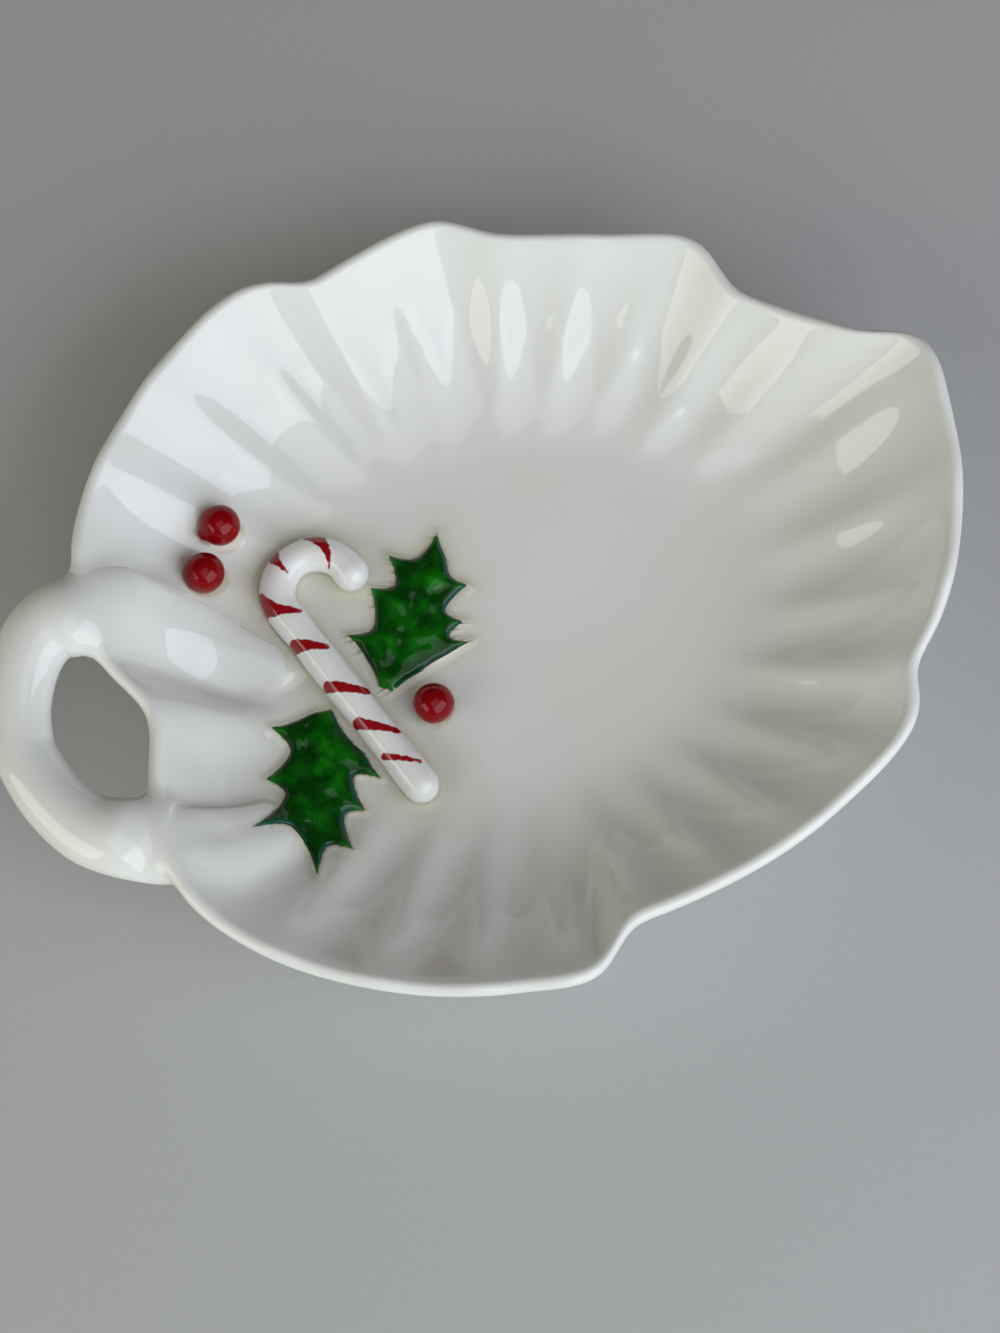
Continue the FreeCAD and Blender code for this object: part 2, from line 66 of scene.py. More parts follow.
# angle, reach there as a share of the leaf's reach
RIM_SHARES = np.array((
    (5, 0.994), (10, 1.013), (14, 1.004), (18, 0.933), (22, 0.892), (30, 0.845), (35.5, 0.825),
    (39.5, 0.847), (42.5, 0.87), (46, 0.876), (51, 0.857), (58, 0.829), (66, 0.814), (74.5, 0.813),
    (79, 0.838), (83, 0.857), (90, 0.845), (98, 0.832), (104.5, 0.828), (108.5, 0.868),
    (112.5, 0.894), (118, 0.9), (134, 0.908), (150, 0.922), (158, 0.916), (171, 0.871),
    (181, 0.798), (192, 0.857), (205, 0.916), (216, 0.908), (233, 0.866), (252, 0.827),
    (259, 0.822), (263, 0.808), (268.5, 0.742), (272.5, 0.731), (287, 0.748), (306, 0.8),
    (320, 0.855), (324.5, 0.854), (329, 0.835), (337, 0.877), (352, 0.944),
))


def rim_reach(degrees):
    turn = np.array((360, 0))
    table = np.vstack((RIM_SHARES[-2:] - turn, RIM_SHARES, RIM_SHARES[:2] + turn))
    angle, share = table.T
    slope = np.zeros(len(table))
    slope[1:-1] = (share[2:] - share[:-2]) / (angle[2:] - angle[:-2])
    at = np.where(degrees % 360 < RIM_SHARES[0, 0], degrees % 360 + 360, degrees % 360)
    low = np.clip(np.searchsorted(angle, at, side="right") - 1, 1, len(table) - 3)
    span = angle[low + 1] - angle[low]
    part = (at - angle[low]) / span
    rise = share[low + 1] - share[low]
    first, second = slope[low] * span, slope[low + 1] * span
    curve = share[low] + part * first + part ** 2 * (3 * rise - 2 * first - second)
    return LEAF_REACH * (curve + part ** 3 * (first + second - 2 * rise))


def rim_top(degrees):
    return RIM_HEIGHT + RIM_RISE * (rim_reach(degrees) - MIDDLE_REACH_SHARE * LEAF_REACH)


all_round = np.arange(360.0)
print(f"rim reaches {rim_reach(all_round).min():.1f} to {rim_reach(all_round).max():.1f} mm")

# %% [markdown]
# The wall curves up from a flat oval floor and is pressed into flutes, several to each lobe, that fade
# out on the floor and at the rim. Sculpting them by hand would be one way. A cosine wave along the rim
# with its crests made narrow gives the same broad scoops and keeps every flute clean. Only the crest
# between the handle's arms breaks the pattern and leans over on its way down.

# %% Floor and flutes
FLOOR_HALF = np.array((36.0, 27.0))
FLOOR_TOP = 6.5
FLUTE_DEPTH = 1.8
# height of a flute's crest as a share of the depth, and how narrow the crest is
CREST_SHARE, CREST_POWER = 0.58, 1.5
# shares of the wall where the flutes begin and are deepest, share of them that fades towards the rim
FLUTE_BEGIN, FLUTE_FULL, RIM_FADE = 0.1, 0.7, 0.7
# first angle, last angle, number of flutes, share of the flutes' depth
LOBES = (
    (-31, 35.5, 5, 1), (35.5, 74.5, 3, 0.65), (74.5, 104.5, 2, 0.8), (104.5, 157, 4, 1),
    (157, 180, 1, 1.35), (180, 204.5, 1, 1.35), (204.5, 272, 5, 1), (272, 329, 4, 1),
)
# the crest between the two arms of the handle leans over as it runs down the wall
LEANING_CREST, LEAN_REACH, LEAN = 180, 23, 10


def ease(low, high, value):
    part = np.clip((value - low) / (high - low), 0, 1)
    return part * part * (3 - 2 * part)


def oval(half_sizes, degrees):
    turn = np.radians(degrees)
    return 1 / np.hypot(np.cos(turn) / half_sizes[0], np.sin(turn) / half_sizes[1])


def flute(degrees, share):
    at = (degrees - LOBES[0][0]) % 360 + LOBES[0][0]
    at = at - LEAN * (1 - share) * np.clip(1 - abs(at - LEANING_CREST) / LEAN_REACH, 0, 1)
    wave = np.zeros_like(at)
    for first, last, count, depth in LOBES:
        inside = (at >= first) & (at <= last)
        crest = (1 + np.cos(2 * np.pi * count * (at[inside] - first) / (last - first))) / 2
        wave[inside] = CREST_SHARE + depth * (crest ** CREST_POWER - 1)
    return wave


def flute_fade(share):
    return ease(FLUTE_BEGIN, FLUTE_FULL, share) * (1 - RIM_FADE * ease(FLUTE_FULL, 1, share))


flute_count = sum(count for _, _, count, _ in LOBES)
print(f"floor {2 * FLOOR_HALF[0]:.0f} x {2 * FLOOR_HALF[1]:.0f} mm, {flute_count} flutes")

# %% [markdown]
# Beside the handle's upper arm lies a groove, such as a finger leaves when it smooths a joint. It is a
# soft trough along a straight line, deepest near the rim and wider towards the arm.

# %% Groove beside the upper arm
# ends of the groove, its depth, its width towards the arm and towards the leaning crest
GROOVE_START, GROOVE_END = np.array((-64.5, 10.6)), np.array((-43.0, -2.9))
GROOVE_DEPTH, GROOVE_ARM_WIDTH, GROOVE_CREST_WIDTH = 2.8, 3.6, 2.4
# shares of its length where it is full and where it starts to run out, share of the wall where it is full
GROOVE_DEEP, GROOVE_RUN_OUT, GROOVE_FULL = 0.2, 0.45, 0.35


def turned(degrees, radius, height):
    turn = np.radians(degrees)
    return np.stack((radius * np.cos(turn), radius * np.sin(turn), height + 0 * turn), axis=-1)


def groove(degrees, radius):
    path = GROOVE_END - GROOVE_START
    offset = turned(degrees, radius, 0.0)[..., :2] - GROOVE_START
    along = offset @ path / (path @ path)
    across = (offset[..., 0] * path[1] - offset[..., 1] * path[0]) / np.hypot(*path)
    width = np.where(across < 0, GROOVE_ARM_WIDTH, GROOVE_CREST_WIDTH)
    depth = GROOVE_DEPTH * np.exp(-(across / width) ** 2)
    return depth * ease(0, GROOVE_DEEP, along) * (1 - ease(GROOVE_RUN_OUT, 1, along))


print(f"groove {np.hypot(*(GROOVE_END - GROOVE_START)):.0f} mm long")

# %% [markdown]
# The inside of the wall rises in a power curve from the floor to the rim. The outside is the same curve,
# set off by the thickness of the wall and with flatter flutes, and the lip is the half round that joins
# the two.

# %% Inside, outside and lip of the wall
FLOOR_THICK = 3.5
OUTSIDE_FLUTES = 0.5
BOWL_POWER = 2.2


def wall_run(degrees):
    return rim_reach(degrees) - WALL - oval(FLOOR_HALF, degrees)


def inner_wall(degrees, share, flutes=1.0):
    radius = oval(FLOOR_HALF, degrees) + wall_run(degrees) * share
    height = FLOOR_TOP + (rim_top(degrees) - FLOOR_TOP) * share ** BOWL_POWER
    height = height + flutes * FLUTE_DEPTH * flute_fade(share) * flute(degrees, share)
    return turned(degrees, radius, height - groove(degrees, radius) * ease(0, GROOVE_FULL, share))


def wall_lean(degrees, share):
    rise = (rim_top(degrees) - FLOOR_TOP) * BOWL_POWER * share ** (BOWL_POWER - 1)
    length = np.hypot(rise, wall_run(degrees))
    return wall_run(degrees) / length, rise / length


def outer_wall(degrees, share):
    run, rise = wall_lean(degrees, share)
    thick = FLOOR_THICK + (WALL - FLOOR_THICK) * ease(0, 1, share)
    return inner_wall(degrees, share, OUTSIDE_FLUTES) + turned(degrees, rise * thick, -run * thick)


def lip(degrees, around):
    inside, outside = inner_wall(degrees, 1.0), outer_wall(degrees, 1.0)
    run, rise = wall_lean(degrees, 1.0)
    half = (inside - outside) / 2
    upward = turned(degrees, run, rise) * np.linalg.norm(half, axis=1)[:, None]
    return (inside + outside) / 2 + half * math.cos(around) + upward * math.sin(around)


print(f"wall {FLOOR_THICK} mm thick at the floor and {WALL} mm at the rim")

# %% [markdown]
# Rings of points, one after the other, make the cage of the dish: over the floor, up the wall, round
# the lip, down the outside and across the foot ring, which lifts the dish off the table. Subdivision
# turns the cage into the smooth skin that slip casting and a thick glaze give.

# %% Rings of the dish
FOOT_HALF = np.array((33.0, 24.0))
FOOT_HEIGHT = 3.0
AROUND_STEP = 2.0
FLOOR_RING_SHARES = (0.08, 0.2, 0.35, 0.5, 0.65, 0.8, 0.92)
INNER_RING_SHARES = np.linspace(0, 0.96, 25)
LIP_TURNS = np.radians((0, 30, 60, 90, 120, 150, 180))
OUTER_RING_SHARES = (0.95, 0.87, 0.78, 0.68, 0.57, 0.46, 0.35, 0.24, 0.13, 0.04)
# section of the foot ring: inset from its outer oval, height above the table
FOOT_PROFILE = (
    (-2.2, FOOT_HEIGHT), (-0.7, 2.9), (0, 2.3), (0, 0.9), (0.5, 0.2), (1.4, 0), (2.6, 0),
    (3.5, 0.2), (4, 0.9), (4, 2.3), (4.7, 2.9), (7, FOOT_HEIGHT), (14, FOOT_HEIGHT),
)
around = np.arange(0, 360, AROUND_STEP)
dish_rings = [turned(around, share * oval(FLOOR_HALF, around), FLOOR_TOP) for share in FLOOR_RING_SHARES]
dish_rings += [inner_wall(around, share) for share in INNER_RING_SHARES]
dish_rings += [lip(around, turn) for turn in LIP_TURNS]
dish_rings += [outer_wall(around, share) for share in OUTER_RING_SHARES]
dish_rings += [turned(around, oval(FOOT_HALF - inset, around), height) for inset, height in FOOT_PROFILE]
print(f"{len(dish_rings)} rings of {len(around)} points")

# %% Skin over the rings


def make_piece(name, points, faces):
    mesh = bpy.data.meshes.new(name)
    mesh.from_pydata((np.asarray(points) * MM).tolist(), [], faces)
    mesh.shade_smooth()
    piece = bpy.data.objects.new(name, mesh)
    scene.collection.objects.link(piece)
    return piece


def skin(name, start, rings, end):
    """A closed skin over equal rings of points, drawn to one point at each end."""
    count = len(rings[0])
    points = np.vstack([start, *rings, end])
    faces = []
    for side in range(count):
        after = (side + 1) % count
        faces.append((0, 1 + after, 1 + side))
        for row in range(len(rings) - 1):
            low, high = 1 + row * count, 1 + (row + 1) * count
            faces.append((low + side, low + after, high + after, high + side))
        last = 1 + (len(rings) - 1) * count
        faces.append((last + side, last + after, len(points) - 1))
    piece = make_piece(name, points, faces)
    shape = bmesh.new()
    shape.from_mesh(piece.data)
    bmesh.ops.recalc_face_normals(shape, faces=shape.faces)
    shape.to_mesh(piece.data)
    shape.free()
    return piece


def subdivide(piece, levels):
    piece.modifiers.new("subdivision", "SUBSURF").levels = levels
    graph = bpy.context.evaluated_depsgraph_get()
    finer = bpy.data.meshes.new_from_object(piece.evaluated_get(graph))
    piece.modifiers.clear()
    finer.name = piece.name
    piece.data = finer
    piece.data.shade_smooth()
    print(f"{piece.name}: {len(finer.polygons)} faces")


dish = skin("glazed_dish", (0, 0, FLOOR_TOP), dish_rings, (0, 0, FOOT_HEIGHT))
subdivide(dish, 2)

# %% [markdown]
# The handle is a stem bent into a loop. Its two arms run over the rim and taper down into the bowl. A
# bevelled curve would give an even tube, but the stem swells where it meets the rim, so ovals are set
# along a smooth route, each with its own width and thickness, and skinned like the dish.

# %% Stations of the handle
LOOP_DEPTH, LOOP_SPREAD = 15.4, 39.0
LOOP_WIDTH, LOOP_THICK, LOOP_DROP = 12.8, 10.0, 1.5
RIM_ARM_SHARE = 0.85
# the bends of each arm in plan, as shares of the leaf's reach and the loop's spread
ARM_SHARES = {
    "upper": ((0.533, 0.058), (0.715, 0.42), (RIM_ARM_SHARE, 0.472)),
    "lower": ((0.615, -0.56), (0.748, -0.638), (RIM_ARM_SHARE, -0.56)),
}
# stations down each arm: part of the arm, lift above the bowl, width, thickness
TAPER_SHARES = {
    "upper": ((0, -0.07, 0.55, 0.14), (0.3, -0.03, 0.74, 0.18),
              (0.52, 0.01, 0.94, 0.3), (0.78, 0.08, 1.12, 0.7)),
    "lower": ((0, -0.06, 0.55, 0.16), (0.3, 0.1, 0.74, 0.38),
              (0.6, 0.08, 0.88, 0.5), (0.85, -0.26, 1, 0.72)),
}
# stations round each half of the loop: along it, across it, drop, width, thickness
LOOP_SHARES = {
    "upper": ((0.08, 0.472, 0.6, 1.1, 1), (0.45, 0.455, 0.6, 0.99, 1), (0.72, 0.355, 0.8, 0.88, 0.99),
              (0.92, 0.2, 1.05, 0.82, 0.96), (1, 0.06, 1.3, 0.79, 0.95)),
    "lower": ((0.03, -0.535, 1.15, 1.08, 0.79), (0.3, -0.49, 0.6, 1, 1), (0.6, -0.405, 0.7, 0.91, 1),
              (0.86, -0.24, 1, 0.83, 0.97), (1, -0.06, 1.3, 0.79, 0.95)),
}


def bowl_top(x, y):
    degrees = np.degrees(np.arctan2(y, x))
    share = (np.hypot(x, y) - oval(FLOOR_HALF, degrees)) / wall_run(degrees)
    share = np.clip(share, 0, 1)
    return inner_wall(np.atleast_1d(degrees), share)[0, 2]


def stem_stations(arm):
    """Middle, width and thickness of the stem along one arm and half of the loop."""
    bends = np.array(ARM_SHARES[arm]) * (-LEAF_REACH, LOOP_SPREAD)
    stations = []
    for part, lift, width, thick in TAPER_SHARES[arm]:
        x, y = bends[0] * (1 - part) ** 2 + bends[1] * 2 * part * (1 - part) + bends[2] * part ** 2
        stations.append((x, y, bowl_top(x, y) + lift * LOOP_THICK, width, thick))
    for along, across, drop, width, thick in LOOP_SHARES[arm]:
        x = -RIM_ARM_SHARE * LEAF_REACH - along * LOOP_DEPTH
        stations.append((x, across * LOOP_SPREAD, RIM_HEIGHT - drop * LOOP_DROP, width, thick))
    return stations


stations = stem_stations("upper") + stem_stations("lower")[::-1]
print(f"{len(stations)} stations along the stem")

# %% Skin of the handle
# rings from one station of the stem to the next, degrees from point to point round a ring
STEM_STEPS, OVAL_STEP = 4, 15


def smooth_route(stations, steps):
    """A smooth curve through all the stations, in equal steps between each pair."""
    known = np.array(stations)
    padded = np.vstack((known[:1], known, known[-1:]))
    rows = []
    for number in range(len(known) - 1):
        before, start, end, after = padded[number:number + 4]
        for part in np.arange(steps) / steps:
            first, second = (end - before) / 2, (after - start) / 2
            bend = 3 * (end - start) - 2 * first - second
            swing = 2 * (start - end) + first + second
            rows.append(start + first * part + bend * part ** 2 + swing * part ** 3)
    return np.array(rows + [known[-1]])


stem = smooth_route(stations, STEM_STEPS)
oval_turn = np.radians(np.arange(0, 360, OVAL_STEP))
heading = np.gradient(stem[:, :3], axis=0)
stem_rings = []
for (x, y, z, width, thick), (ahead_x, ahead_y, _) in zip(stem, heading):
    sideways = np.array((ahead_y, -ahead_x, 0)) / math.hypot(ahead_x, ahead_y)
    ring = np.array((x, y, z)) + np.outer(np.cos(oval_turn), sideways * width * LOOP_WIDTH / 2)
    ring[:, 2] += np.sin(oval_turn) * thick * LOOP_THICK / 2
    stem_rings.append(ring)
handle = skin("stem_handle", stem[0, :3], stem_rings, stem[-1, :3])
subdivide(handle, 2)

# %% [markdown]
# On the real dish the arms flow into the bowl with no seam, because wet slip filled the corner before
# firing. Joining the two meshes would fuse pieces that are separate in the model. Instead each skin is
# moved onto the soft union of both: near the corner a point slides out until the rounded blend of the
# two distances is zero, and further in it dives under the other skin. The slip lies thick on the outer
# sides of the arms and thin at the finger hole, so the reach of the blend changes with the place.

# %% Distances and reach of the blend
# reach of the blend at the finger hole and out in the bowl, and where it changes along X
HOLE_REACH, BOWL_REACH = 2.5, 6.0
HOLE_TO_BOWL = (-68, -58)
# a place on the upper arm and the direction to its outer side, distances where that side begins
UPPER_ARM_PLACE, UPPER_ARM_OUTWARD = (-42.6, 2.3), (0.535, 0.845)
UPPER_OUTER_SIDE = (-2, 4)
# where the outer side of the lower arm begins along Y, towards the front
LOWER_OUTER_SIDE = (21, 26)


def search_tree(piece):
    corners = [v.co.copy() for v in piece.data.vertices]
    return BVHTree.FromPolygons(corners, [tuple(p.vertices) for p in piece.data.polygons])


def signed_gap(tree, point):
    place, normal, _, _ = tree.find_nearest(point)
    gap = (point - place).length
    return (gap if (point - place).dot(normal) > 0 else -gap), normal


def corner_reach(point):
    """Small at the finger hole and between the arms, larger on their outer sides."""
    x, y = point.x / MM, point.y / MM
    (arm_x, arm_y), (outward_x, outward_y) = UPPER_ARM_PLACE, UPPER_ARM_OUTWARD
    above = outward_x * (x - arm_x) + outward_y * (y - arm_y)
    outer = max(ease(*UPPER_OUTER_SIDE, above), ease(*LOWER_OUTER_SIDE, -y))
    return (HOLE_REACH + (BOWL_REACH - HOLE_REACH) * ease(*HOLE_TO_BOWL, x) * outer) * MM


print(f"blend of {HOLE_REACH} mm at the finger hole, up to {BOWL_REACH} mm in the bowl")

# %% Flow the handle into the bowl
# depth of the dive under the other skin, share of the reach where it starts
DIVE, DIVE_START = 2.0, 0.05
FLOW_ROUNDS, IRON_ROUNDS = 5, 4
LEAST_PUSH = 0.3


def flow_together(piece, own, other):
    """Moves the points of a piece near another one onto the rounded union of the two."""
    moved = []
    for vertex in piece.data.vertices:
        reach = corner_reach(vertex.co)
        start_gap, _ = signed_gap(other, vertex.co)
        if not -reach < start_gap < reach:
            continue
        sink = DIVE * MM * max(0, -start_gap / reach - DIVE_START) ** 2
        point = vertex.co.copy()
        for _ in range(FLOW_ROUNDS):
            own_gap, own_normal = signed_gap(own, point)
            other_gap, other_normal = signed_gap(other, point)
            share = min(1, max(0, 0.5 + 0.5 * (other_gap - own_gap) / reach))
            field = own_gap * share + other_gap * (1 - share) - reach * share * (1 - share)
            push = own_normal * share + other_normal * (1 - share)
            point -= push * ((field + sink) / max(push.length_squared, LEAST_PUSH))
        moved.append((vertex.index, point))
    for index, point in moved:
        piece.data.vertices[index].co = point
    return [index for index, _ in moved]


def iron(piece, indices):
    """Smooths a patch of points, so that no facet shows in the gloss."""
    shape = bmesh.new()
    shape.from_mesh(piece.data)
    shape.verts.ensure_lookup_table()
    patch = [shape.verts[index] for index in indices]
    all_ways = {"use_axis_x": True, "use_axis_y": True, "use_axis_z": True}
    for _ in range(IRON_ROUNDS):
        bmesh.ops.smooth_vert(shape, verts=patch, factor=0.5, **all_ways)
    shape.to_mesh(piece.data)
    shape.free()


dish_tree, handle_tree = search_tree(dish), search_tree(handle)
dish_patch = flow_together(dish, dish_tree, handle_tree)
handle_patch = flow_together(handle, handle_tree, dish_tree)
iron(dish, dish_patch)
iron(handle, handle_patch)
dish_tree, handle_tree = search_tree(dish), search_tree(handle)
print(f"flowed together: {len(dish_patch)} points of the dish, {len(handle_patch)} of the handle")

# %% [markdown]
# The candy cane is a rod of clay rolled by hand, bent to a hook and pressed a little way into the
# floor. A bevelled curve would be even all along, and a rolled rod is not, so rings are set along the
# route. Each point also keeps its length along the rod and its side, which place the painted strokes.

# %% Route of the candy cane
CANE_FOOT_SHARES = np.array((-0.31, -0.288))
CANE_FOOT = CANE_FOOT_SHARES * LEAF_REACH
CANE_TURN = math.radians(19.5)
CANE_STEM, CANE_HOOK, CANE_TAIL, CANE_THICK = 38.5, 6.7, 1.2, 6.3
cane_along = np.array((-math.sin(CANE_TURN), math.cos(CANE_TURN)))
cane_right = np.array((math.cos(CANE_TURN), math.sin(CANE_TURN)))


def by_cane(along, across):
    return CANE_FOOT + along * cane_along + across * cane_right


def cane_route(length):
    """Middle of the rod and its direction in plan, by length from the foot."""
    bend = np.clip((length - CANE_STEM) / CANE_HOOK, 0, math.pi)
    straight = min(length, CANE_STEM)
    tail = max(0, length - CANE_STEM - math.pi * CANE_HOOK)
    along = straight + CANE_HOOK * math.sin(bend) - tail
    across = CANE_HOOK * (1 - math.cos(bend))
    return by_cane(along, across), cane_along * math.cos(bend) + cane_right * math.sin(bend)


rod_radius = CANE_THICK / 2
cane_length = CANE_STEM + math.pi * CANE_HOOK + CANE_TAIL
print(f"cane {cane_length + CANE_THICK:.1f} mm long along the rod")

# %% Rod of the candy cane
SEAT_DEPTH = 0.8
ROD_RINGS, CAP_STEP, ROD_STEP = 150, 10, 7.5
# a rolled rod swells and thins: share of its radius, waves along the rod, start of the wave
ROLL_WAVES = ((0.025, 0.31, 1), (0.02, 0.73, 0))
ROD_FULLNESS = 0.975
# the underside counts as far out to the side, where no stroke reaches
UNDERSIDE = 2


def rod_side(turn):
    side = math.sin(turn)
    return side if math.cos(turn) > 0 else UNDERSIDE * np.sign(side)


cap_turn = np.radians(np.arange(CAP_STEP, 90, CAP_STEP))
lengths = np.concatenate((
    -rod_radius * np.cos(cap_turn),
    np.linspace(0, cane_length, ROD_RINGS),
    cane_length + rod_radius * np.cos(cap_turn[::-1]),
))
rod_shares = np.concatenate((np.sin(cap_turn), np.ones(ROD_RINGS), np.sin(cap_turn[::-1])))
rod_turn = np.radians(np.arange(0, 360, ROD_STEP))
cane_z = FLOOR_TOP + rod_radius - SEAT_DEPTH
cane_rings, cane_marks = [], []
for length, share in zip(lengths, rod_shares):
    on_rod = np.clip(length, 0, cane_length)
    middle, ahead = cane_route(on_rod)
    middle = middle + (length - on_rod) * ahead
    sideways = np.array((ahead[1], -ahead[0]))
    uneven = 1 + sum(size * math.sin(length * rate + start) for size, rate, start in ROLL_WAVES)
    radius = rod_radius * share * min(1, uneven * ROD_FULLNESS)
    ring = np.zeros((len(rod_turn), 3))
    ring[:, :2] = middle + np.outer(np.sin(rod_turn) * radius, sideways)
    ring[:, 2] = cane_z + np.cos(rod_turn) * radius
    cane_rings.append(ring)
    cane_marks += [(length, rod_side(turn)) for turn in rod_turn]
cane_ends = []
for length, beyond in ((0, -rod_radius), (cane_length, rod_radius)):
    middle, ahead = cane_route(length)
    cane_ends.append(np.append(middle + beyond * ROD_FULLNESS * ahead, cane_z))
cane = skin("cane_rod", cane_ends[0], cane_rings, cane_ends[1])
print(f"cane: {len(cane_rings)} rings of {len(rod_turn)} points")

# %% [markdown]
# The strokes are brushed across the rod on the bias: each starts wide at the left and runs out thin.
# A stroke is kept as its two ends, in length along the rod and share of its radius to the side, with a
# half width at each end. What is stored on the mesh is the distance from the nearest stroke's edge, in
# millimetres, so the paint's edge stays crisp between points.

# %% Painted strokes on the cane
FAR_FROM_STROKES = 9.0
# left side, length there, half width there, right side, length there, half width there
STROKES = (
    (-0.68, 7.2, 0.6, 0.68, 2.9, 0.35), (-0.72, 14.6, 1.05, 0.82, 9.4, 0.55),
    (-0.7, 22.8, 1.0, 0.8, 18.2, 0.75), (-0.82, 32.1, 1.2, -0.1, 30.6, 1.0),
    (0.12, 29.9, 0.8, 0.6, 28.6, 0.5), (-1.0, 40.8, 1.55, 0.68, 36.6, 0.4),
    (-1.1, 47.6, 1.0, 0.46, 46.2, 0.2), (-1.0, 52.9, 1.3, 0.76, 57.4, 0.25),
)


def stroke_gap(length, side):
    gaps = []
    for left, left_length, left_half, right, right_length, right_half in STROKES:
        start = np.array((left * rod_radius, left_length))
        path = np.array((right * rod_radius, right_length)) - start
        offset = np.array((side * rod_radius, length)) - start
        part = np.clip(offset @ path / (path @ path), 0, 1)
        half = left_half + (right_half - left_half) * part
        gaps.append(np.linalg.norm(offset - part * path) - half)
    return min(gaps)


def store(piece, name, values):
    attribute = piece.data.attributes.new(name, "FLOAT", "POINT")
    attribute.data.foreach_set("value", np.asarray(values, np.float32))


stroke_gaps = [stroke_gap(*mark) for mark in cane_marks]
store(cane, "stroke_gap", [FAR_FROM_STROKES, *stroke_gaps, FAR_FROM_STROKES])
print(f"{len(STROKES)} strokes of red on the cane")

# %% [markdown]
# The holly leaves are thin sprigs pressed from a mould. Their outline goes from spine to spine in
# rounded bays, and only the spines themselves are sharp.

# %% Outlines of the holly leaves
# depth of a bay's hollow as a share of its width, rounds of smoothing, least steps from spine to dip
SCALLOP_SHARE, BAY_ROUNDS, BAY_STEPS = 0.06, 10, 4
OUTLINE_STEP = 0.4
# a corner that turns more than this, as a product of two edges, is a spine
SPINE_TURN = 0.01
# spines and dips in order round each leaf, as shares of its length, the last one next to the cane
UPPER_SPINES = np.array((
    (0.003, -0.037), (0.15, -0.145), (0.29, -0.263), (0.415, -0.375), (0.403, -0.235),
    (0.521, -0.299), (0.544, -0.168), (0.744, -0.26), (0.753, -0.148), (0.857, -0.096),
    (1, 0.01), (0.802, 0.075), (0.778, 0.24), (0.61, 0.136), (0.558, 0.277),
    (0.319, 0.179), (0.247, 0.318), (0.136, 0.164), (0.005, 0.045),
))
LOWER_SPINES = np.array((
    (0.24, 0.345), (0.112, 0.244), (-0.05, 0.185), (-0.05, 0.067), (0.032, -0.185),
    (0.177, -0.077), (0.346, -0.242), (0.446, -0.128), (0.674, -0.318), (0.652, -0.121),
    (0.989, 0.003), (0.782, 0.07), (0.842, 0.216), (0.594, 0.178), (0.6, 0.307),
    (0.364, 0.252), (0.414, 0.424),
))


def sharp_spines(spines):
    came, goes = spines - np.roll(spines, 1, axis=0), np.roll(spines, -1, axis=0) - spines
    return came[:, 0] * goes[:, 1] - came[:, 1] * goes[:, 0] > SPINE_TURN


def leaf_outline(spines, length):
    """Points round a leaf: sharp at the spines, with the bays between them rounded."""
    points, fixed = [], []
    ends = np.roll(spines, -1, axis=0) * length
    for start, end, sharp in zip(spines * length, ends, sharp_spines(spines)):
        chord = end - start
        inward = np.array((-chord[1], chord[0])) * SCALLOP_SHARE
        count = max(BAY_STEPS, round(np.linalg.norm(chord) / OUTLINE_STEP))
        for part in np.arange(count) / count:
            points.append(start + chord * part + inward * 4 * part * (1 - part))
            fixed.append(sharp and part == 0)
    points, loose = np.array(points), ~np.array(fixed)
    for _ in range(BAY_ROUNDS):
        middle = (np.roll(points, 1, axis=0) + np.roll(points, -1, axis=0)) / 2
        points[loose] = (points[loose] + middle[loose]) / 2
    return points


for spines in (UPPER_SPINES, LOWER_SPINES):
    print(f"a leaf with {sharp_spines(spines).sum()} spines")

# %% [markdown]
# A flat outline made thick by a modifier would stay flat on top. Instead each leaf is filled with a net
# of triangles, so that every point can have a height of its own.

# %% Net of a leaf
# spacing of the net's points, and how far they stay from the edge
NET_STEP, EDGE_CLEAR = 0.42, 0.25
# points nearer than this are one point, and no slope is divided by less than this
TINY_GAP, TINY_SLOPE = 1e-6, 1e-12
# what the triangulation keeps: only what lies inside the outline
KEEP_INSIDE = 1


def gap_to_lines(points, starts, ends):
    """Distance from each point to the nearest of some line pieces."""
    best = np.full(len(points), np.inf)
    for start, end in zip(starts, ends):
        path = end - start
        part = np.clip((points - start) @ path / (path @ path), 0, 1)
        best = np.minimum(best, np.linalg.norm(points - start - part[:, None] * path, axis=1))
    return best


def edge_gap_of(points, outline):
    return gap_to_lines(points, outline, np.roll(outline, -1, axis=0))


def inside_outline(points, outline):
    x, y = points.T
    inside = np.zeros(len(points), bool)
    for (x0, y0), (x1, y1) in zip(outline, np.roll(outline, -1, axis=0)):
        crosses = (y0 > y) != (y1 > y)
        inside ^= crosses & (x < (x1 - x0) * (y - y0) / (y1 - y0 + TINY_SLOPE) + x0)
    return inside


def leaf_net(outline, edge_ring):
    """Points and triangles that fill an outline, with the outline's own points first."""
    low, high = outline.min(axis=0), outline.max(axis=0)
    columns, rows = np.arange(low[0], high[0], NET_STEP), np.arange(low[1], high[1], NET_STEP)
    grid = np.stack(np.meshgrid(columns, rows), -1)
    grid[::2, :, 0] += NET_STEP / 2
    grid = grid.reshape(-1, 2)
    grid = grid[inside_outline(grid, outline)]
    grid = grid[edge_gap_of(grid, outline) > EDGE_CLEAR]
    flat = [Vector(point) for point in np.vstack((outline, grid))]
    net, _, faces, *_ = delaunay_2d_cdt(flat, edge_ring, [], KEEP_INSIDE, TINY_GAP)
    return np.array([tuple(point) for point in net]), [tuple(face) for face in faces]


# %% [markdown]
# The mould gives a leaf its relief: a rounded edge, a swell towards the middle, a sunken midrib with a
# vein to every spine, and soft lumps. Each of these is worked out from a distance, to the edge, to the
# rib or to a vein. The distances are also kept on the mesh, because the green glaze runs with the relief.

# %% Relief of a leaf
LEAF_THICK = 2.0
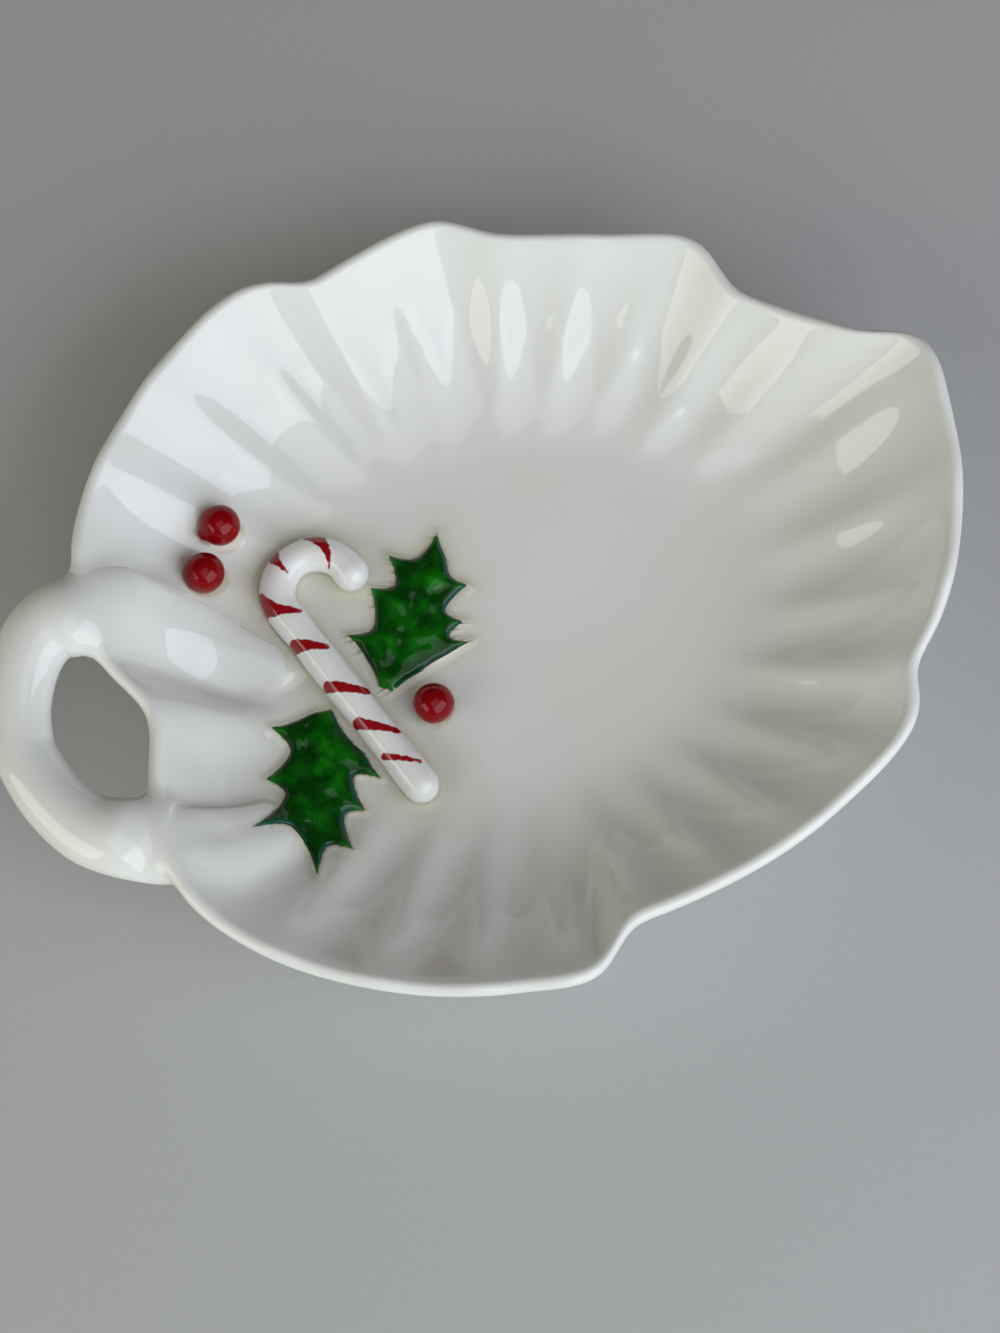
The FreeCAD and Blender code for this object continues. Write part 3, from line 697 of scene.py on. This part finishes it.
# shares of the thickness in the edge, the rounding and the swell, and how far in the last two reach
EDGE_SHARE, ROUND_SHARE, SWELL_SHARE = 0.2, 0.48, 0.36
ROUND_REACH, SWELL_REACH = 1.7, 4.5
RIB_DEPTH, RIB_WIDTH = 0.42, 1.2
VEIN_DEPTH, VEIN_WIDTH = 0.34, 1.3
VEIN_FADE = (0.3, 3)
# midrib from the leaf's foot, before its tip; how far back a vein leaves the rib, and between where
RIB_SHARES = np.array(((0.02, 0), (0.5, 0.01)))
VEIN_BACK_SHARE, VEIN_FOOT_SHARES = 0.16, (0.05, 0.9)
LUMP_HEIGHT, LUMPS_PER_MM, LUMP_REACH = 0.6, 0.3, 2.2


def leaf_relief(flat, edge_gap, spines, length, seed):
    """Height of the leaf at each point of its net, and the distance to the nearest spine."""
    tip = spines[np.argmax(spines[:, 0])]
    rib = np.vstack((RIB_SHARES, tip)) * length
    rib_gap = gap_to_lines(flat, rib[:-1], rib[1:])
    sharp = spines[sharp_spines(spines)]
    feet = np.clip(sharp[:, 0] - VEIN_BACK_SHARE, *VEIN_FOOT_SHARES)
    feet = np.column_stack((feet, np.zeros(len(feet))))
    vein_gap = gap_to_lines(flat, feet * length, sharp * length)
    spine_gap = np.min([np.hypot(*(flat - spine * length).T) for spine in sharp], axis=0)
    rounded = np.sqrt(1 - (1 - np.clip(edge_gap / ROUND_REACH, 0, 1)) ** 2)
    swell = ease(0, SWELL_REACH, edge_gap)
    height = LEAF_THICK * (EDGE_SHARE + ROUND_SHARE * rounded + SWELL_SHARE * swell)
    height -= RIB_DEPTH * np.exp(-(rib_gap / RIB_WIDTH) ** 2) * swell
    height -= VEIN_DEPTH * np.exp(-(vein_gap / VEIN_WIDTH) ** 2) * ease(*VEIN_FADE, edge_gap)
    lumps = [noise.noise(Vector((x * LUMPS_PER_MM, y * LUMPS_PER_MM, seed))) for x, y in flat]
    height += LUMP_HEIGHT * np.array(lumps) * ease(0, LUMP_REACH, edge_gap)
    return height, spine_gap


# %% [markdown]
# A sprig is pressed on while it is soft and takes the shape of what is under it. A shrinkwrap modifier
# could do that, but a ray dropped from above each point is plainer, because the leaf lies partly on the
# bowl and partly on an arm of the handle. A skirt runs down into the dish and closes the leaf.

# %% Holly leaves laid on the dish
UPPER_LEAF_LENGTH, UPPER_LEAF_GAP, UPPER_LEAF_TURN = 30.0, 1.9, math.radians(54)
LOWER_LEAF_LENGTH, LOWER_LEAF_GAP, LOWER_LEAF_TURN = 28.5, 1.3, math.radians(-100.8)
# where the leaves touch the cane: back from the hook, on from the foot, in shares of the leaf's length
UPPER_LEAF_SHARE, LOWER_LEAF_SHARE = 0.67, 0.19
UPPER_LEAF_SEED, LOWER_LEAF_SEED = 3.0, 8.0
DROP_HEIGHT = 60


def bowl_height(x, y):
    """Top of the dish or of the handle's arms, whichever is higher."""
    above = Vector((x, y, DROP_HEIGHT)) * MM
    hits = [tree.ray_cast(above, Vector((0, 0, -1)))[0] for tree in (dish_tree, handle_tree)]
    return max(hit.z for hit in hits if hit) / MM


def holly_leaf(name, spines, length, last_place, turn, seed):
    outline = leaf_outline(spines, length)
    count = len(outline)
    edge_ring = [(i, (i + 1) % count) for i in range(count)]
    flat, faces = leaf_net(outline, edge_ring)
    edge_gap = edge_gap_of(flat, outline)
    height, spine_gap = leaf_relief(flat, edge_gap, spines, length, seed)
    rotate = np.array(((math.cos(turn), math.sin(turn)), (-math.sin(turn), math.cos(turn))))
    plan = (flat - spines[-1] * length) @ rotate + last_place
    ground = np.array([bowl_height(x, y) for x, y in plan])
    top = np.column_stack((plan, ground + height))
    skirt = np.column_stack((plan[:count], ground[:count] - SEAT_DEPTH))
    sides = [(b, a, len(top) + a, len(top) + b) for a, b in edge_ring]
    under = [tuple(len(top) + i for i in range(count))[::-1]]
    piece = make_piece(name, np.vstack((top, skirt)), faces + sides + under)
    store(piece, "relief", np.concatenate((height / LEAF_THICK, np.zeros(count))))
    store(piece, "edge_gap", np.concatenate((edge_gap, np.zeros(count))))
    store(piece, "spine_gap", np.concatenate((spine_gap, spine_gap[:count])))
    print(f"{name}: {len(faces)} triangles on top")
    return piece


upper_along = CANE_STEM - UPPER_LEAF_SHARE * UPPER_LEAF_LENGTH
upper_place = by_cane(upper_along, CANE_THICK / 2 + UPPER_LEAF_GAP)
lower_place = by_cane(LOWER_LEAF_SHARE * LOWER_LEAF_LENGTH, -CANE_THICK / 2 - LOWER_LEAF_GAP)
upper_leaf = holly_leaf(
    "holly_sprig_upper", UPPER_SPINES, UPPER_LEAF_LENGTH, upper_place, UPPER_LEAF_TURN, UPPER_LEAF_SEED)
lower_leaf = holly_leaf(
    "holly_sprig_lower", LOWER_SPINES, LOWER_LEAF_LENGTH, lower_place, LOWER_LEAF_TURN, LOWER_LEAF_SEED)

# %% [markdown]
# The berries are small balls of clay pressed onto the dish. A plain sphere would look turned on a
# lathe, so each is built from rings and pushed a little out of round, and one keeps the nub where it
# was pinched off.

# %% Berries
BERRY_SIZE = 7.2
BERRY_FULLNESS, BERRY_LUMPS, LUMPS_ACROSS = 0.985, 0.02, 1.3
BERRY_RING_STEP, BERRY_TURN_STEP = 6, 7.5
# the nub: direction, height, and how near to the direction it starts and is full, as a cosine
NUB_WAY = np.array((-0.975, -0.21, 0.05))
NUB_HEIGHT, NUB_SPREAD = 0.64, (0.93, 0.995)
# on the wall: name, place past the hook and beside the cane in berry sizes, seed of the lumps, nubs
WALL_BERRIES = (("berry_by_rim", 1.09, 0.02, 1.0, 1), ("berry_by_handle", 0.37, -0.97, 4.0, 0))
FLOOR_BERRY_SHARE, FLOOR_BERRY_SEED = 1.2, 7.0


def berry(name, place, seed, nubs):
    radius = BERRY_SIZE / 2
    middle = np.array((*place, bowl_height(*place) + radius - SEAT_DEPTH))
    degrees = np.arange(0, 360, BERRY_TURN_STEP)
    rings = []
    for down in np.radians(np.arange(BERRY_RING_STEP, 180, BERRY_RING_STEP)):
        outward = turned(degrees, np.sin(down), np.cos(down))
        lumps = [noise.noise(Vector(way) * LUMPS_ACROSS + Vector((seed, 0, 0))) for way in outward]
        reach = radius * (BERRY_FULLNESS + BERRY_LUMPS * np.array(lumps))
        reach += nubs * NUB_HEIGHT * ease(*NUB_SPREAD, outward @ NUB_WAY)
        rings.append(middle + outward * reach[:, None])
    pole = np.array((0, 0, radius * BERRY_FULLNESS))
    piece = skin(name, middle + pole, rings, middle - pole)
    subdivide(piece, 1)
    return piece


hook_end = CANE_STEM + CANE_HOOK + CANE_THICK / 2
berries = [
    berry(name, by_cane(hook_end + along * BERRY_SIZE, across * BERRY_SIZE), seed, nubs)
    for name, along, across, seed, nubs in WALL_BERRIES
]
floor_place = by_cane(upper_along - FLOOR_BERRY_SHARE * BERRY_SIZE, CANE_THICK / 2 + BERRY_SIZE)
berries.append(berry("berry_by_leaf", floor_place, FLOOR_BERRY_SEED, 0))

# %% [markdown]
# White glaze is drawn up against everything that stands on the dish and leaves a small fillet there. A
# soft union as at the handle would move the sprigs too, so here only the dish is raised a little, more
# the nearer a sprig is. The same distances are kept as a value on the mesh that paints the white darker
# and warmer round the sprigs: painted shade, and glaze that is thicker where it pooled.

# %% Glaze drawn up round the sprigs
# how far from a sprig the dish is looked at and raised, and how flat the fillet is
SPRIG_MARGIN, FILLET_REACH, FILLET_FLATNESS = 8, 1.6, 3
# each sprig and how far the painted shade and the pooled glaze show round it, in millimetres
sprigs = [(cane, 3.4), (upper_leaf, 2.0), (lower_leaf, 1.4), *((ball, 0.9) for ball in berries)]
# painted shade and pooled glaze: full under a sprig, fading with the gap to it
shade_and_pool = np.zeros(len(dish.data.vertices))
places = np.array([v.co for v in dish.data.vertices])
upper_side = np.array([v.normal.z for v in dish.data.vertices]) > 0
reach, margin = FILLET_REACH * MM, SPRIG_MARGIN * MM
for sprig, shade_and_pool_reach in sprigs:
    corners = np.array([v.co for v in sprig.data.vertices])
    low, high = corners.min(axis=0) - margin, corners.max(axis=0) + margin
    near = np.all((places > low) & (places < high), axis=1) & upper_side
    sprig_tree = search_tree(sprig)
    for index in np.nonzero(near)[0]:
        vertex = dish.data.vertices[index]
        gap = sprig_tree.find_nearest(vertex.co)[3]
        covered = sprig_tree.ray_cast(vertex.co, Vector((0, 0, 1)))[0] is not None
        shade_and_pool[index] = max(shade_and_pool[index], 1 if covered else math.exp(-gap / (shade_and_pool_reach * MM)))
        if gap < reach and not covered:
            vertex.co.z += (reach - gap) ** 2 / (FILLET_FLATNESS * reach)
store(dish, "shade_and_pool", shade_and_pool)
store(handle, "shade_and_pool", np.zeros(len(handle.data.vertices)))
print(f"glaze fillet under {len(sprigs)} sprigs")

# %% [markdown]
# Colours are written as the sRGB values that the eye reads off the real thing, and one function turns
# them to the linear values that the shader works in. One more function adds a node with its settings
# and links. The short ones after it use it for the kinds of node that every glaze needs.

# %% Colours and nodes


def linear(text):
    channels = [int(text[i:i + 2], 16) / 255 for i in (1, 3, 5)]
    return (*(c / 12.92 if c <= 0.04045 else ((c + 0.055) / 1.055) ** 2.4 for c in channels), 1.0)


def add_node(tree, kind, settings, links=None):
    node = tree.nodes.new(kind)
    for name, value in settings.items():
        if isinstance(name, int) or name in node.inputs:
            node.inputs[name].default_value = value
        else:
            setattr(node, name, value)
    for name, socket in (links or {}).items():
        tree.links.new(socket, node.inputs[name])
    return node


def mixed(tree, share, first, second):
    """Colour between two others, each a hex text or a socket."""
    settings, links = {"data_type": "RGBA"}, {0: share}
    for slot, colour in ((6, first), (7, second)):
        if isinstance(colour, str):
            settings[slot] = linear(colour)
        else:
            links[slot] = colour
    return add_node(tree, "ShaderNodeMix", settings, links).outputs[2]


def combined(tree, operation, *terms):
    """Result of one operation on terms, each a number or a socket."""
    settings, links = {"operation": operation}, {}
    for slot, term in enumerate(terms):
        kept = settings if isinstance(term, float) else links
        kept[slot] = term
    return add_node(tree, "ShaderNodeMath", settings, links).outputs[0]


def ramp(tree, value, start, end, low=0.0, high=1.0):
    """Goes from low to high while a value goes from start to end."""
    settings = {"From Min": start, "From Max": end, "To Min": low, "To Max": high}
    return add_node(tree, "ShaderNodeMapRange", settings, {"Value": value}).outputs[0]


def noise_field(tree, place, size, detail):
    """Soft noise with lumps of a size in millimetres."""
    settings = {"Scale": 1 / (size * MM), "Detail": detail}
    return add_node(tree, "ShaderNodeTexNoise", settings, {"Vector": place}).outputs["Fac"]


def bumped(tree, height, depth):
    """Normal of a surface that a height moves by a depth in millimetres."""
    settings = {"Strength": 1.0, "Distance": depth * MM}
    return add_node(tree, "ShaderNodeBump", settings, {"Height": height}).outputs["Normal"]


def stored(tree, name):
    return add_node(tree, "ShaderNodeAttribute", {"attribute_name": name}).outputs["Fac"]


def new_material(name):
    material = bpy.data.materials.new(name)
    material.use_nodes = True
    tree = material.node_tree
    tree.nodes.clear()
    place = add_node(tree, "ShaderNodeTexCoord", {}).outputs["Object"]
    return material, tree, place


def finish_material(tree, shader):
    add_node(tree, "ShaderNodeOutputMaterial", {}, {"Surface": shader.outputs[0]})


print(f"the table's grey #b0b1b2 is {linear('#b0b1b2')[0]:.2f} in linear light")

# %% [markdown]
# White glazed earthenware: a cast body under a thick glaze made white with tin. It gives the eye a
# soft, slightly cool white with sharp reflections that wander, because the glaze is never level. Painted
# shade and pooled glaze make it darker and warmer against the sprigs, and a rare speck of iron shows
# through.

# %% White glazed earthenware
white, tree, place = new_material("white_glazed_earthenware")
cloud = noise_field(tree, place, 25, 2.0)
tone = mixed(tree, cloud, "#e9ebea", "#e2e2dc")
# painted shade and thicker pooled glaze: darker and warmer the nearer a sprig is
shaded_and_pooled = mixed(tree, stored(tree, "shade_and_pool"), tone, "#d2ceb8")
# iron in one or two of a hundred cells of 5 mm, as specks of at most 0.45 mm
speck_cells = add_node(tree, "ShaderNodeTexVoronoi", {"Scale": 1 / (5 * MM)}, {"Vector": place})
speck_size = combined(tree, "LESS_THAN", speck_cells.outputs["Distance"], 0.045)
speck_pick = combined(tree, "GREATER_THAN", speck_cells.outputs["Color"], 0.9)
speck = combined(tree, "MULTIPLY", speck_size, speck_pick)
glaze_colour = mixed(tree, speck, shaded_and_pooled, "#6f6258")
glaze_rough = ramp(tree, cloud, 0.0, 1.0, 0.02, 0.06)
# the glaze wanders by a tenth of a millimetre over about 11 mm
level = bumped(tree, noise_field(tree, place, 11, 1.0), 0.12)
glaze = add_node(tree, "ShaderNodeBsdfPrincipled", {"IOR": 1.52},
                 {"Base Color": glaze_colour, "Roughness": glaze_rough, "Normal": level})
finish_material(tree, glaze)
dish.data.materials.append(white)
handle.data.materials.append(white)
print("glazed:", dish.name, handle.name)

# %% [markdown]
# White glaze with red enamel: the cane has a white of its own, a little brighter, and the strokes are
# onglaze colour laid on with a small brush. The colour is thin, so the brush's hairs leave the edges of
# a stroke ragged and the red uneven.

# %% White glaze with red enamel
striped, tree, place = new_material("white_glaze_with_red_enamel")
# the brush's hairs are finer than this, drawn at 0.9 mm so that they show
hairs = noise_field(tree, place, 0.9, 3.0)
ragged = combined(tree, "MULTIPLY_ADD", hairs, 0.7, -0.35)
edge = combined(tree, "ADD", stored(tree, "stroke_gap"), ragged)
cover = ramp(tree, edge, 0.08, -0.12)
enamel = mixed(tree, hairs, "#86020f", "#a8081b")
striped_colour = mixed(tree, cover, "#eeeeec", enamel)
level = bumped(tree, noise_field(tree, place, 5, 1.0), 0.03)
glaze = add_node(tree, "ShaderNodeBsdfPrincipled", {"Roughness": 0.04, "IOR": 1.58},
                 {"Base Color": striped_colour, "Normal": level})
finish_material(tree, glaze)
cane.data.materials.append(striped)
print("striped:", cane.name)

# %% [markdown]
# Green glaze: a copper green flowed over the pressed leaf. It lies thin on what stands proud, which is
# painted lighter for that and for a highlight, and thick and dark in the veins and down the sides. On the
# spines it was wiped thin and looks yellower. On the sides that face the window a bluish reflection is
# painted as a rim, bare of colour at some spines. The surface is wet looking, with small highlights on
# every lump.

# %% Green glaze
green, tree, place = new_material("copper_green_glaze")
brush = noise_field(tree, place, 3, 3.0)
# thin glaze and a painted highlight: lighter where the relief stands proud
thin_glaze_and_highlight = ramp(tree, stored(tree, "relief"), 0.6, 1.25)
streak = ramp(tree, brush, 0.36, 0.66)
body_green = mixed(tree, combined(tree, "MULTIPLY", thin_glaze_and_highlight, streak), "#003a06", "#169010")
# yellower from 3.2 mm before a spine's point
spine_value = stored(tree, "spine_gap")
tip = ramp(tree, spine_value, 3.2, 0.4, 0.0, 0.7)
tipped = mixed(tree, tip, body_green, "#1f8a12")
print("green glaze, brighter on what stands proud")

# %% Painted window reflection and bare spines of the green glaze
TO_THE_WINDOW = (0.95, -0.3, 0)
normal = add_node(tree, "ShaderNodeNewGeometry", {}).outputs["Normal"]
facing = add_node(tree, "ShaderNodeVectorMath", {"operation": "DOT_PRODUCT", 1: TO_THE_WINDOW}, {0: normal})
# the painted reflection of the window is a bluish rim about 1 mm wide on what faces it
window_facing = ramp(tree, facing.outputs["Value"], 0.25, 0.65)
rim_near = ramp(tree, stored(tree, "edge_gap"), 1.1, 0.3)
window_reflected = mixed(tree, combined(tree, "MULTIPLY", rim_near, window_facing), tipped, "#0d4a3e")
# bare patches of about 1 mm at the spines, only on what faces the window
bare_edge = combined(tree, "MULTIPLY_ADD", noise_field(tree, place, 1.1, 2.0), 2.6, spine_value)
bare_near = combined(tree, "LESS_THAN", bare_edge, 1.75)
bare = combined(tree, "MULTIPLY", bare_near, window_facing)
green_colour = mixed(tree, bare, window_reflected, "#c4cfc6")
glaze = add_node(tree, "ShaderNodeBsdfPrincipled",
                 {"Roughness": 0.1, "IOR": 1.52, "Specular IOR Level": 0.3},
                 {"Base Color": green_colour, "Normal": bumped(tree, brush, 0.1)})
finish_material(tree, glaze)
for leaf in (upper_leaf, lower_leaf):
    leaf.data.materials.append(green)
print("green:", upper_leaf.name, lower_leaf.name)

# %% [markdown]
# Red glaze: a deep enamel red over the white ball, fired to a high gloss. It gives the eye a dark,
# clear red with a soft mottle, where the colour is thicker and thinner, and one sharp highlight.

# %% Red glaze
red, tree, place = new_material("enamel_red_glaze")
mottle = noise_field(tree, place, 2.5, 2.0)
red_colour = mixed(tree, mottle, "#760006", "#92010d")
glaze = add_node(tree, "ShaderNodeBsdfPrincipled",
                 {"Roughness": 0.05, "IOR": 1.52, "Specular IOR Level": 0.24},
                 {"Base Color": red_colour, "Normal": bumped(tree, mottle, 0.06)})
finish_material(tree, glaze)
for ball in berries:
    ball.data.materials.append(red)
print("red:", ", ".join(ball.name for ball in berries))

# %% [markdown]
# Each piece stands for one CAD solid, which it hides, and rides on the one body of the model.

# %% Tie the pieces to the frame
tied = (
    (dish, "dish_shell", "white_glaze"), (handle, "loop_handle", "white_glaze"),
    (cane, "candy_cane", "cane_glaze"),
    (upper_leaf, "holly_leaf_upper", "green_glaze"), (lower_leaf, "holly_leaf_lower", "green_glaze"),
    (berries[0], "berry_wall_upper", "red_glaze"), (berries[1], "berry_wall_lower", "red_glaze"),
    (berries[2], "berry_floor", "red_glaze"),
)
for piece, node, slot in tied:
    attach(piece, "root")
    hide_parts(node)
print("tied:", ", ".join(piece.name for piece, _, _ in tied))

# %% [markdown]
# The dish stands on a table painted a plain pale grey. A brushed coat dries with a grain too fine to
# show, so it is drawn at 0.8 mm, and it is matt, so the dish has no reflection in it.

# %% Painted table
# half the table's side in metres, squares along a side
TABLE_HALF_SIZE, TABLE_CELLS = 3.0, 40
shape = bmesh.new()
bmesh.ops.create_grid(shape, x_segments=TABLE_CELLS, y_segments=TABLE_CELLS, size=TABLE_HALF_SIZE)
table_mesh = bpy.data.meshes.new("table")
shape.to_mesh(table_mesh)
shape.free()
table = bpy.data.objects.new("table", table_mesh)
scene.collection.objects.link(table)
painted, tree, place = new_material("painted_table")
table_colour = mixed(tree, noise_field(tree, place, 0.8, 2.0), "#b0b1b2", "#b7b8b9")
paint = add_node(tree, "ShaderNodeBsdfPrincipled", {"Roughness": 0.6}, {"Base Color": table_colour})
finish_material(tree, paint)
table.data.materials.append(painted)
print(f"table {2 * TABLE_HALF_SIZE:.0f} m wide")

# %% [markdown]
# A large soft lamp low on the near right side is the window of the photograph and gives the long
# reflections in the far flutes. A wide weak lamp high on the near side is the sky, and a smaller,
# faintly yellow one on the left is the room. The world is darker on the far side, as a room is away
# from its window. With nothing bright behind the dish the dark glazes keep their depth.

# %% Lamps and room
# name, place, aim and size in metres, power in watts, colour
LAMPS = (
    ("window", (0.38, -0.59, 0.38), (0, 0, 0.02), (1.0, 0.74), 5.9, "#eef4ff"),
    ("sky", (0.15, -0.45, 1.0), (0, 0, 0), (1.0, 1.0), 2.8, "#f6f9ff"),
    ("room", (-0.8, -0.2, 0.36), (0, 0, 0.02), (0.75, 0.6), 3.6, "#f6f8e6"),
)
for name, spot, aim, size, power, colour in LAMPS:
    light = bpy.data.lights.new(name, "AREA")
    light.shape = "RECTANGLE"
    light.size, light.size_y = size
    light.energy = power
    light.color = linear(colour)[:3]
    lamp = bpy.data.objects.new(name, light)
    lamp.location = spot
    lamp.rotation_euler = (Vector(aim) - Vector(spot)).to_track_quat("-Z", "Y").to_euler()
    scene.collection.objects.link(lamp)
world = bpy.data.worlds.new("grey_room")
world.use_nodes = True
tree = world.node_tree
tree.nodes.clear()
way = add_node(tree, "ShaderNodeTexCoord", {}).outputs["Generated"]
depth = add_node(tree, "ShaderNodeSeparateXYZ", {}, {"Vector": way}).outputs["Y"]
room_colour = mixed(tree, ramp(tree, depth, -0.7, 0.7), "#d4d1c6", "#988a6a")
room_light = add_node(tree, "ShaderNodeBackground", {"Strength": 0.2}, {"Color": room_colour})
add_node(tree, "ShaderNodeOutputWorld", {}, {"Surface": room_light.outputs[0]})
scene.world = world
print("lamps:", ", ".join(lamp[0] for lamp in LAMPS))

# %% [markdown]
# The photograph was taken from the near side, almost overhead. The camera's place and direction were
# found by laying the rim and the sprigs over the picture until they met.

# %% Camera
CAMERA_PLACE = Vector((-30.91, -81.70, 300.43))
CAMERA_LOOK = Vector((0.08426, 0.24472, -0.96593))
LENS, SENSOR_HEIGHT = 47.4, 36
NEAREST_SEEN = 0.01
camera_data = bpy.data.cameras.new("camera")
camera_data.sensor_fit = "VERTICAL"
camera_data.sensor_height = SENSOR_HEIGHT
camera_data.lens = LENS
camera_data.clip_start = NEAREST_SEEN
camera = bpy.data.objects.new("camera", camera_data)
camera.location = CAMERA_PLACE * MM
camera.rotation_euler = CAMERA_LOOK.to_track_quat("-Z", "Y").to_euler()
scene.collection.objects.link(camera)
scene.camera = camera
scene.view_settings.view_transform = "Standard"
print(f"camera {CAMERA_PLACE.z:.0f} mm above the table")
